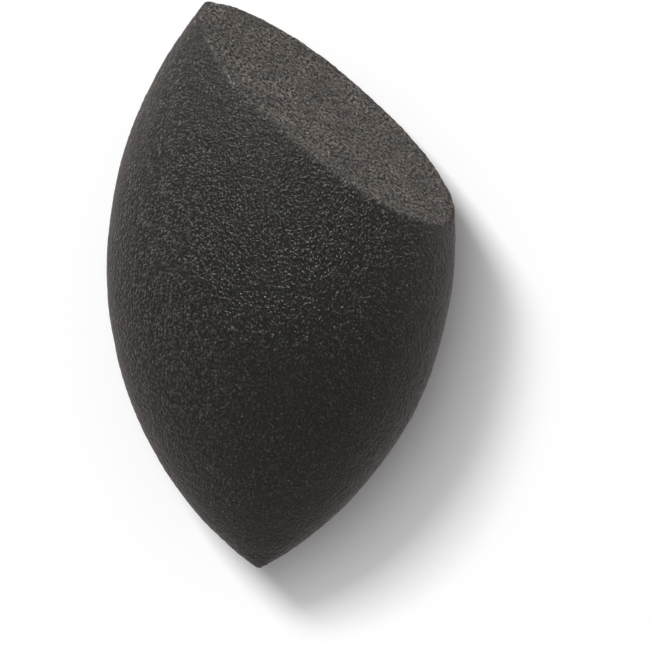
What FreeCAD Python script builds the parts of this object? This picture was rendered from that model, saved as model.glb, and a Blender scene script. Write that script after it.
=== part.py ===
import FreeCAD, Part
import enum
import math
import os
import Sketcher

# Foam makeup sponge: one moulded piece of foam, a round spindle with a
# pointed tip and one slanted flat face, lying on its side.
# The floor is Z = 0 and the middle of the resting patch is the origin.
# The tip points to -Y, the slanted end to +Y and a little upwards.

# Driving dimensions in millimetres and degrees
DIMENSIONS = {
    "belly_diameter": (40.0, "widest round of the sponge"),
    "tip_flank_radius": (43.7, "side curve from the belly to the tip"),
    "crown_flank_radius": (47.7, "side curve from the belly to the slanted end"),
    "tip_radius": (0.5, "rounding of the tip"),
    "facet_angle": (36.5, "tilt of the flat face away from a square cut"),
    "facet_distance": (16.3, "from the belly centre out to the flat face"),
    "facet_roll": (22.6, "turn of the flat face upwards about the sponge's axis"),
    "rim_radius": (0.5, "rounding along the rim of the flat face"),
    "dip_angle": (6.8, "how far the tip sinks as the sponge lies"),
    "rest_depth": (0.5, "foam pressed flat under the belly"),
}
doc = FreeCAD.newDocument("makeup_sponge")
sheet = doc.addObject("Spreadsheet::Sheet", "sheet")
for row, (alias, (value, note)) in enumerate(DIMENSIONS.items(), start=1):
    sheet.set(f"A{row}", alias)
    sheet.set(f"B{row}", str(value))
    sheet.setAlias(f"B{row}", alias)
    sheet.set(f"C{row}", note)
doc.recompute()

# Height of the belly centre over the floor, and its offset from the patch
REST_HEIGHT = (
    "sheet.tip_flank_radius - sheet.rest_depth"
    " - (sheet.tip_flank_radius - sheet.belly_diameter / 2) * cos(sheet.dip_angle)"
)
REST_OFFSET = "(sheet.tip_flank_radius - sheet.belly_diameter / 2) * sin(sheet.dip_angle)"


class Spot(enum.IntEnum):
    """Numbers that a sketch gives to the points of a curve."""

    START = 1
    END = 2
    CENTRE = 3


class Axis(enum.IntEnum):
    """Numbers of a sketch's own axes; its origin is the start of the level one."""

    LEVEL = -1
    UPRIGHT = -2


def add_sketch(body, name, role):
    """New sketch on the body's own origin plane of that role."""
    plane = next(item for item in body.Origin.OriginFeatures if item.Role == role)
    sketch = body.newObject("Sketcher::SketchObject", name)
    sketch.AttachmentSupport = [(plane, "")]
    sketch.MapMode = "FlatFace"
    return sketch


def hold(sketch, *terms):
    """Add a constraint that carries no size."""
    sketch.addConstraint(Sketcher.Constraint(*terms))


def drive(sketch, name, expression, *terms):
    """Add a size to the sketch and bind it to the sheet."""
    index = sketch.addConstraint(Sketcher.Constraint(*terms))
    sketch.renameConstraint(index, name)
    sketch.setExpression(f"Constraints.{name}", expression)


def arc(centre_x, centre_y, radius, start, end):
    """Arc about a centre, between two angles in radians."""
    centre = FreeCAD.Vector(centre_x, centre_y, 0)
    return Part.ArcOfCircle(Part.Circle(centre, FreeCAD.Vector(0, 0, 1), radius), start, end)


def draw_profile(sketch):
    """Half outline of the spindle, closed along its axis."""
    belly = sheet.belly_diameter / 2
    inset = sheet.tip_flank_radius - belly
    crown_inset = sheet.crown_flank_radius - belly
    tip_y = -math.sqrt((sheet.tip_flank_radius - sheet.tip_radius) ** 2 - inset ** 2)
    meet = math.atan2(tip_y, inset)
    crown = math.acos(crown_inset / sheet.crown_flank_radius)
    crown_y = sheet.crown_flank_radius * math.sin(crown)
    tip_end = FreeCAD.Vector(0, tip_y - sheet.tip_radius, 0)
    axis = sketch.addGeometry(Part.LineSegment(FreeCAD.Vector(0, crown_y, 0), tip_end), False)
    nose = sketch.addGeometry(arc(0, tip_y, sheet.tip_radius, -math.pi / 2, meet), False)
    flank = sketch.addGeometry(arc(-inset, 0, sheet.tip_flank_radius, meet, 0), False)
    shoulder = sketch.addGeometry(arc(-crown_inset, 0, sheet.crown_flank_radius, 0, crown), False)
    # The straight side and the tip's centre are on the axis, the others at the belly
    hold(sketch, "PointOnObject", axis, Spot.START, Axis.UPRIGHT)
    hold(sketch, "PointOnObject", axis, Spot.END, Axis.UPRIGHT)
    hold(sketch, "PointOnObject", nose, Spot.CENTRE, Axis.UPRIGHT)
    hold(sketch, "PointOnObject", flank, Spot.CENTRE, Axis.LEVEL)
    hold(sketch, "PointOnObject", flank, Spot.END, Axis.LEVEL)
    hold(sketch, "PointOnObject", shoulder, Spot.CENTRE, Axis.LEVEL)
    hold(sketch, "Coincident", axis, Spot.END, nose, Spot.START)
    hold(sketch, "Tangent", nose, Spot.END, flank, Spot.START)
    hold(sketch, "Coincident", flank, Spot.END, shoulder, Spot.START)
    hold(sketch, "Coincident", shoulder, Spot.END, axis, Spot.START)
    half_belly = "sheet.belly_diameter / 2"
    drive(sketch, "belly", half_belly, "DistanceX", Axis.LEVEL, Spot.START, flank, Spot.END, belly)
    drive(sketch, "nose", "sheet.tip_radius", "Radius", nose, sheet.tip_radius)
    drive(sketch, "flank", "sheet.tip_flank_radius", "Radius", flank, sheet.tip_flank_radius)
    drive(sketch, "shoulder", "sheet.crown_flank_radius", "Radius", shoulder, sheet.crown_flank_radius)


def draw_block(sketch, side, level):
    """Rectangle that begins at a level line and lies beyond it.

    The side is +1 above the origin or -1 below it. The rectangle is two
    belly diameters wide and one high, so it clears the whole sponge.
    """
    half, size = sheet.belly_diameter, sheet.belly_diameter
    corners = [(-half, size), (half, size), (half, 2 * size), (-half, 2 * size)]
    corners = [FreeCAD.Vector(x, side * y, 0) for x, y in corners]
    for index, corner in enumerate(corners):
        sketch.addGeometry(Part.LineSegment(corner, corners[(index + 1) % 4]), False)
    for index in range(4):
        hold(sketch, "Coincident", index, Spot.END, (index + 1) % 4, Spot.START)
    hold(sketch, "Vertical", 1)
    hold(sketch, "Horizontal", 2)
    hold(sketch, "Vertical", 3)
    hold(sketch, "Symmetric", 0, Spot.START, 0, Spot.END, Axis.UPRIGHT)
    drive(sketch, "width", "2 * sheet.belly_diameter", "DistanceX", 0, Spot.START, 0, Spot.END, 2 * half)
    if side > 0:
        drive(sketch, "level", level, "DistanceY", Axis.LEVEL, Spot.START, 0, Spot.START, size)
        drive(sketch, "height", "sheet.belly_diameter", "DistanceY", 1, Spot.START, 1, Spot.END, size)
    else:
        drive(sketch, "level", level, "DistanceY", 0, Spot.START, Axis.LEVEL, Spot.START, size)
        drive(sketch, "height", "sheet.belly_diameter", "DistanceY", 1, Spot.END, 1, Spot.START, size)


def cut_through(body, sketch, name):
    """Take the sketch's area away to both sides of its plane."""
    cut = body.newObject("PartDesign::Pocket", name)
    cut.Profile = sketch
    cut.SideType = "Symmetric"
    cut.setExpression("Length", "2 * sheet.belly_diameter")
    return cut


def rim_edges(shape):
    """Names of the edges around the shape's one flat face."""
    flat = next(face for face in shape.Faces if isinstance(face.Surface, Part.Plane))
    return [
        f"Edge{number}"
        for number, edge in enumerate(shape.Edges, start=1)
        if any(edge.isSame(rim) for rim in flat.Edges)
    ]


foam_body = doc.addObject("PartDesign::Body", "foam_body")
foam_body.Label = "foam_body"

# Spindle turned about its long axis
profile = add_sketch(foam_body, "profile", "XY_Plane")
draw_profile(profile)
spindle = foam_body.newObject("PartDesign::Revolution", "spindle")
spindle.Profile = profile
spindle.ReferenceAxis = (profile, ["V_Axis"])
spindle.Angle = 360
doc.recompute()

# Slanted flat face across the crown
facet_line = add_sketch(foam_body, "facet_line", "XY_Plane")
facet_line.setExpression(
    "AttachmentOffset",
    "placement(vector(0; 0; 0); rotation(vector(0; 1; 0); -sheet.facet_roll)"
    " * rotation(vector(0; 0; 1); -sheet.facet_angle))",
)
draw_block(facet_line, 1, "sheet.facet_distance")
facet = cut_through(foam_body, facet_line, "facet")
doc.recompute()

# Soft rim where the flat face meets the round side
rim = foam_body.newObject("PartDesign::Fillet", "rim")
rim.Base = (facet, rim_edges(facet.Shape))
rim.setExpression("Radius", "sheet.rim_radius")
doc.recompute()

# Patch under the belly, pressed flat by the sponge's weight
floor_line = add_sketch(foam_body, "floor_line", "YZ_Plane")
floor_line.setExpression(
    "AttachmentOffset",
    "placement(vector(0; 0; 0); rotation(vector(0; 0; 1); -sheet.dip_angle))",
)
draw_block(floor_line, -1, REST_HEIGHT)
rest_patch = cut_through(foam_body, floor_line, "rest_patch")

# Lie on the floor, tip down
foam_body.setExpression(
    "Placement",
    f"placement(vector(0; {REST_OFFSET}; {REST_HEIGHT}); rotation(vector(1; 0; 0); sheet.dip_angle))",
)
doc.recompute()

# Every object is sound, and each cut took foam away
for item in doc.Objects:
    if "Invalid" in item.State or "Error" in item.State:
        raise RuntimeError(f"{item.Name} did not build: {item.State}")
for before, after in ((spindle, facet), (facet, rim), (rim, rest_patch)):
    if not after.Shape.Volume < before.Shape.Volume:
        raise RuntimeError(f"{after.Name} took nothing away")
shape = foam_body.Shape
if shape.isNull() or not shape.isValid() or len(shape.Solids) != 1:
    raise RuntimeError("foam_body is not one sound solid")

os.makedirs("parts", exist_ok=True)
shape.exportStep(f"parts/{foam_body.Label}.step")
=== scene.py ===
"""Foam makeup sponge lying on a white table, seen from straight above."""

import math

import bpy
import numpy as np
from mathutils import Matrix, Vector, noise


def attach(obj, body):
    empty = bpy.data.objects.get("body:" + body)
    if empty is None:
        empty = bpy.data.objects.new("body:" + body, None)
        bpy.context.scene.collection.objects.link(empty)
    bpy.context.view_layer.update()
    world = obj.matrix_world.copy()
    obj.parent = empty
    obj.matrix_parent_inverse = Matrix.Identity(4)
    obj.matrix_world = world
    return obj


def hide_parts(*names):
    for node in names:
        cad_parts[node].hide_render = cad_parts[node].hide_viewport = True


MM = 0.001

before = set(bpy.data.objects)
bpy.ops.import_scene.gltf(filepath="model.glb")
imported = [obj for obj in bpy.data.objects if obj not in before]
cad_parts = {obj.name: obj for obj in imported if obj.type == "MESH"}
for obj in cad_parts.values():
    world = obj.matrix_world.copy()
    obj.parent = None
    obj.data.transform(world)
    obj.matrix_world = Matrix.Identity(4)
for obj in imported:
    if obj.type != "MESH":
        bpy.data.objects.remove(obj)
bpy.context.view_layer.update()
scene = bpy.context.scene

# The sponge's place in the CAD frame
BELLY_CENTRE = Vector((0.0, 2.81, 19.67)) * MM
FACET_NORMAL = Vector((0.549146, 0.771136, 0.322159))
FACET_POINT = Vector((4.2782, 19.3250, 23.4299)) * MM

# Sharp corner of the crown: where it is, how far it is drawn out and how wide the pull reaches
CROWN_CORNER = Vector((-10.2, 30.9, 20.4)) * MM
CROWN_PULL = Vector((-0.16, 0.38, 0.0)) * MM
CROWN_REACH = 1.6 * MM

# Mesh of the foam: size of its quads, and depth in mm and breadth of swells, dents and grain
QUAD = 0.33 * MM
SWELL, SWELL_BREADTH = 0.10, 9 * MM
DENT, DENT_BREADTH = 0.04, 2.6 * MM
GRAIN, GRAIN_BREADTH = 0.07, 0.5 * MM

# Ragged line between cut and moulded foam: how far it strays, in two breadths, and its blur
STRAY = 0.3 * MM
STRAY_BREADTH, STRAY_FINE_BREADTH = 1.1 * MM, 0.45 * MM
CUT_BLUR = 0.22 * MM

# How far apart two noises with neighbouring seeds are, in bumps
SEED_STEP = (17.3, 5.1, 29.7)


# Sponge mesh

def even_copy(source, quad):
    """Copy of a mesh object, divided into even small quads."""
    copy = bpy.data.objects.new("even_copy", source.data.copy())
    scene.collection.objects.link(copy)
    remesh = copy.modifiers.new("remesh", "REMESH")
    remesh.mode = "VOXEL"
    remesh.voxel_size = quad
    smooth = copy.modifiers.new("smooth", "SMOOTH")
    smooth.factor = 0.5
    smooth.iterations = 4
    wrap = copy.modifiers.new("wrap", "SHRINKWRAP")
    wrap.target = source
    ready = copy.evaluated_get(bpy.context.evaluated_depsgraph_get())
    mesh = bpy.data.meshes.new_from_object(ready)
    bpy.data.objects.remove(copy)
    return mesh


def noise_at(points, breadth, seed):
    """Smooth noise of about -1 to 1, with bumps of the given breadth."""
    shift = Vector([seed * step for step in SEED_STEP])
    return np.array([noise.noise(Vector(p) / breadth + shift) for p in points])


def roughen(mesh):
    """Press the grain of the foam into the mesh and mark its cut face."""
    count = len(mesh.vertices)
    points = np.empty(count * 3)
    normals = np.empty(count * 3)
    mesh.vertices.foreach_get("co", points)
    mesh.vertices.foreach_get("normal", normals)
    points = points.reshape(-1, 3)
    normals = normals.reshape(-1, 3)
    # How far each point is from the cut face, with a ragged line between cut and moulded foam
    depth = (points - np.array(FACET_POINT)) @ np.array(FACET_NORMAL)
    stray = noise_at(points, STRAY_BREADTH, seed=4) + noise_at(points, STRAY_FINE_BREADTH, seed=5)
    depth += STRAY * stray
    cut = mesh.attributes.new("cut", "FLOAT", "POINT")
    cut.data.foreach_set("value", np.clip(1 + depth / CUT_BLUR, 0, 1))
    # Soft swells, dents and grain along the normals
    swell = SWELL * noise_at(points, SWELL_BREADTH, seed=1)
    dents = DENT * noise_at(points, DENT_BREADTH, seed=2)
    grain = GRAIN * noise_at(points, GRAIN_BREADTH, seed=3)
    points += normals * ((swell + dents + grain) * MM)[:, None]
    # Sharp corner of the crown, and nothing below the table
    away = np.linalg.norm(points - np.array(CROWN_CORNER), axis=1)
    points += np.exp(-(away / CROWN_REACH) ** 2)[:, None] * np.array(CROWN_PULL)
    points[:, 2] = np.maximum(points[:, 2], 0.0)
    mesh.vertices.foreach_set("co", points.ravel())
    mesh.polygons.foreach_set("use_smooth", np.ones(len(mesh.polygons), bool))
    mesh.update()


mesh = even_copy(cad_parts["foam_body"], QUAD)
roughen(mesh)
mesh.name = "sponge"
sponge = bpy.data.objects.new("sponge", mesh)
scene.collection.objects.link(sponge)
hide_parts("foam_body")
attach(sponge, "root")


# Shader nodes

class Graph:
    """Small helper that adds shader nodes to a material or world and links them."""

    def __init__(self, owner):
        owner.use_nodes = True
        self.tree = owner.node_tree
        self.tree.nodes.clear()

    def add(self, kind, **settings):
        node = self.tree.nodes.new("ShaderNode" + kind)
        for name, value in settings.items():
            setattr(node, name, value)
        return node

    def link(self, output, socket):
        self.tree.links.new(output, socket)

    def set(self, socket, value):
        """Put a number or colour on a socket, or link an output to it."""
        if isinstance(value, bpy.types.NodeSocket):
            self.link(value, socket)
        elif isinstance(value, tuple):
            socket.default_value = (*value, 1)
        else:
            socket.default_value = value

    def fill_in(self, node, **values):
        """Set a node's sockets, named with _ for a space."""
        for name, value in values.items():
            self.set(node.inputs[name.replace("_", " ")], value)
        return node

    def math(self, operation, first, second, clamp=False):
        node = self.add("Math", operation=operation, use_clamp=clamp)
        self.set(node.inputs[0], first)
        self.set(node.inputs[1], second)
        return node.outputs[0]

    def remap(self, value, low, high, to_low=0.0, to_high=1.0):
        """Smooth ramp from one range of numbers to another."""
        node = self.add("MapRange", interpolation_type="SMOOTHSTEP")
        self.fill_in(node, Value=value, From_Min=low, From_Max=high, To_Min=to_low, To_Max=to_high)
        return node.outputs["Result"]

    def mix(self, factor, first, second):
        """Blend of two numbers."""
        node = self.fill_in(self.add("Mix", data_type="FLOAT"), Factor=factor, A=first, B=second)
        return node.outputs["Result"]

    def mix_colour(self, factor, first, second):
        """Blend of two colours, whose sockets come after those of numbers and vectors."""
        node = self.fill_in(self.add("Mix", data_type="RGBA"), Factor=factor)
        self.set(node.inputs[6], first)
        self.set(node.inputs[7], second)
        return node.outputs[2]

    def noise(self, place, scale, detail=1.0, roughness=0.5):
        node = self.add("TexNoise")
        self.fill_in(node, Vector=place, Scale=scale, Detail=detail, Roughness=roughness)
        return node.outputs["Fac"]

    def stretched(self, place, scale, turn=None):
        """Place divided by a scale along the axes of a turned frame."""
        node = self.add("Mapping", vector_type="TEXTURE")
        self.link(place, node.inputs["Vector"])
        node.inputs["Scale"].default_value = scale
        if turn:
            node.inputs["Rotation"].default_value = turn.to_euler()
        return node.outputs["Vector"]


# Foam material; the scales of its patterns are bumps to a metre

# Skin colours: the dark one holds painted shade between the grains, the light one a painted highlight on
# their tops, both over the foam's own tone
SKIN_DARK_AND_SHADE, SKIN_LIGHT_AND_GLINT = (0.0066, 0.0064, 0.0055), (0.0530, 0.0510, 0.0440)
CUT_DARK, CUT_LIGHT = (0.005, 0.0044, 0.0038), (0.106, 0.0945, 0.0846)
SKIN_STRETCH, CUT_STRETCH = (1.0, 1.22, 2.4), (1.0, 2.0, 1.0)
FINE_SCALE, BLOT_SCALE, CELL_SCALE = 4200, 3400, 2800
PORE_SCALE, PATCH_SCALE = 2900, 350
BLOT_SHARE, GRAIN_SHARE = 0.45, 0.95
SKIN_HEIGHT, WALL_HEIGHT, FINE_HEIGHT = 0.31, 0.12, 0.08
SKIN_ROUGHNESS, CUT_ROUGHNESS = 0.39, 0.95

foam = bpy.data.materials.new("foam")
g = Graph(foam)
place = g.add("TexCoord").outputs["Object"]
cut = g.add("Attribute", attribute_name="cut").outputs["Fac"]

# Moulded skin: soft blots and round grains of many strengths, which also raise the bumps; the colour
# paints a highlight on them and shade between them
skin_place = g.stretched(place, SKIN_STRETCH)
fine = g.noise(skin_place, FINE_SCALE)
blots = g.math("MULTIPLY", g.remap(g.noise(skin_place, BLOT_SCALE), 0.45, 0.7), g.remap(fine, 0.35, 0.6))
cells = g.fill_in(g.add("TexVoronoi", feature="F1"), Vector=skin_place, Scale=CELL_SCALE)
chance = g.fill_in(g.add("SeparateColor"), Color=cells.outputs["Color"])
strength = g.remap(chance.outputs["Red"], 0.1, 1.0, 0.15, 1.0)
grains_and_glints = g.math("MULTIPLY", g.remap(cells.outputs["Distance"], 0.52, 0.08), strength)
blots = g.math("MULTIPLY", blots, BLOT_SHARE)
grains_and_glints = g.math("MULTIPLY", grains_and_glints, GRAIN_SHARE)
skin_grain_and_painted_light = g.math("ADD", blots, grains_and_glints, clamp=True)
# Painted highlight on the grains and painted shade between them
skin_colour_and_painted_light = g.mix_colour(skin_grain_and_painted_light, SKIN_DARK_AND_SHADE, SKIN_LIGHT_AND_GLINT)

# Cut face: open cells, drawn out along the cut, with lighter and darker patches
level = Vector((-FACET_NORMAL.y, FACET_NORMAL.x, 0)).normalized()
slope = FACET_NORMAL.cross(level)
cut_place = g.stretched(place, CUT_STRETCH, Matrix((level, slope, FACET_NORMAL)).transposed())
pores = g.remap(g.noise(cut_place, PORE_SCALE, 2.0, 0.6), 0.41, 0.68)
patches = g.remap(g.noise(cut_place, PATCH_SCALE), 0.3, 0.7, 0.65, 1.1)
walls = g.math("MULTIPLY", pores, patches)
cut_colour = g.mix_colour(walls, CUT_DARK, CUT_LIGHT)

# Heights are in mm
skin_height = g.math("MULTIPLY", skin_grain_and_painted_light, SKIN_HEIGHT)
wall_height = g.math("MULTIPLY", walls, WALL_HEIGHT)
fine_height = g.math("MULTIPLY", fine, FINE_HEIGHT)
height = g.math("ADD", g.mix(cut, skin_height, wall_height), fine_height)
bump = g.fill_in(g.add("Bump"), Strength=1.0, Distance=1.0 * MM, Height=height)

shader = g.fill_in(
    g.add("BsdfPrincipled"),
    Base_Color=g.mix_colour(cut, skin_colour_and_painted_light, cut_colour),
    Roughness=g.mix(cut, SKIN_ROUGHNESS, CUT_ROUGHNESS),
    Normal=bump.outputs["Normal"],
    Specular_IOR_Level=0.43,
    Specular_Tint=(1.0, 0.98, 0.93),
    Sheen_Weight=0.12,
    Sheen_Roughness=0.1,
    Sheen_Tint=(1.0, 0.82, 0.79),
)
g.fill_in(g.add("OutputMaterial"), Surface=shader.outputs["BSDF"])
mesh.materials.clear()
mesh.materials.append(foam)


# Table: white to the eye; to all other rays it is grey and glows, a painted bounce light on the sponge

TABLE_REACH = 1.5
TABLE_WHITE, TABLE_GREY = (0.962, 0.962, 0.962), (0.1, 0.1, 0.1)
TABLE_GLOW = 0.35

table_mesh = bpy.data.meshes.new("table")
corners = [(-1, -1), (1, -1), (1, 1), (-1, 1)]
table_mesh.from_pydata([(x * TABLE_REACH, y * TABLE_REACH, 0) for x, y in corners], [], [(0, 1, 2, 3)])
table = bpy.data.objects.new("table", table_mesh)
scene.collection.objects.link(table)
white = bpy.data.materials.new("table_white")
g = Graph(white)
seen = g.add("LightPath").outputs["Is Camera Ray"]
paper = g.fill_in(
    g.add("BsdfPrincipled"),
    Base_Color=g.mix_colour(seen, TABLE_GREY, TABLE_WHITE),
    # Glow for all but camera rays, a painted bounce light
    Emission_Strength=g.mix(seen, TABLE_GLOW, 0.0),
    Emission_Color=(1.0, 0.92, 0.9),
    Roughness=0.9,
    Specular_IOR_Level=0.0,
)
g.fill_in(g.add("OutputMaterial"), Surface=paper.outputs["BSDF"])
table_mesh.materials.append(white)


# Light

TURN = math.radians(4.17)
RIGHT = Vector((math.cos(TURN), math.sin(TURN), 0))
UP = Vector((-math.sin(TURN), math.cos(TURN), 0))
TOWARDS = Vector((0, 0, 1))


def area_light(name, side, rise, distance, size, power):
    """Soft light aimed at the sponge; side and rise are angles in degrees.

    The side counts from the top of the picture towards its left, and the rise
    counts up from the table. The size is across and along the rise.
    """
    side, rise = math.radians(side), math.radians(rise)
    level = UP * math.cos(side) - RIGHT * math.sin(side)
    away = level * math.cos(rise) + TOWARDS * math.sin(rise)
    along = TOWARDS * math.cos(rise) - level * math.sin(rise)
    across = along.cross(away)
    lamp = bpy.data.lights.new(name, "AREA")
    lamp.shape = "RECTANGLE"
    lamp.size, lamp.size_y = size
    lamp.energy = power
    light = bpy.data.objects.new(name, lamp)
    scene.collection.objects.link(light)
    turn = Matrix((across, along, away)).transposed().to_4x4()
    light.matrix_world = Matrix.Translation(BELLY_CENTRE + away * distance) @ turn
    return light


# The key and top lights cast the shadow; the low graze light picks out the grain of the sponge alone
key = area_light("key", side=39, rise=62.5, distance=1.0, size=(0.18, 0.23), power=6.3)
top = area_light("top", side=39, rise=80, distance=1.0, size=(0.18, 0.36), power=2.7)
graze = area_light("graze", side=6, rise=21, distance=0.8, size=(0.7, 0.10), power=8.6)
key.visible_glossy = False
top.visible_glossy = False
graze_receivers = bpy.data.collections.new("graze_receivers")
graze_receivers.objects.link(sponge)
graze.light_linking.receiver_collection = graze_receivers

# Even fill on the sponge, and white behind it
world = bpy.data.worlds.new("studio")
scene.world = world
g = Graph(world)
seen = g.add("LightPath").outputs["Is Camera Ray"]
fill = g.fill_in(g.add("Background"), Color=(1.0, 0.972, 0.986), Strength=0.315)
backdrop = g.fill_in(g.add("Background"), Color=(1.0, 1.0, 1.0), Strength=1.0)
choice = g.fill_in(g.add("MixShader"), Fac=seen)
g.link(fill.outputs["Background"], choice.inputs[1])
g.link(backdrop.outputs["Background"], choice.inputs[2])
g.fill_in(g.add("OutputWorld"), Surface=choice.outputs["Shader"])


# Camera, placed so that the belly's centre is at its pixel in the photo

FAR = 600 * MM
PIXELS_PER_MM = 8.6856
BELLY_PIXEL = (281.0, 254.94)
IMAGE = 650
SENSOR = 36
offset_right = (IMAGE / 2 - BELLY_PIXEL[0]) / PIXELS_PER_MM * MM
offset_up = (BELLY_PIXEL[1] - IMAGE / 2) / PIXELS_PER_MM * MM
lens = bpy.data.cameras.new("camera")
lens.sensor_width = SENSOR
lens.lens = SENSOR * FAR / (IMAGE / PIXELS_PER_MM * MM)
lens.clip_start = 0.01
lens.clip_end = 10
camera = bpy.data.objects.new("camera", lens)
scene.collection.objects.link(camera)
camera.location = BELLY_CENTRE + RIGHT * offset_right + UP * offset_up + TOWARDS * FAR
camera.rotation_euler = (0, 0, TURN)
scene.camera = camera
scene.view_settings.view_transform = "Standard"
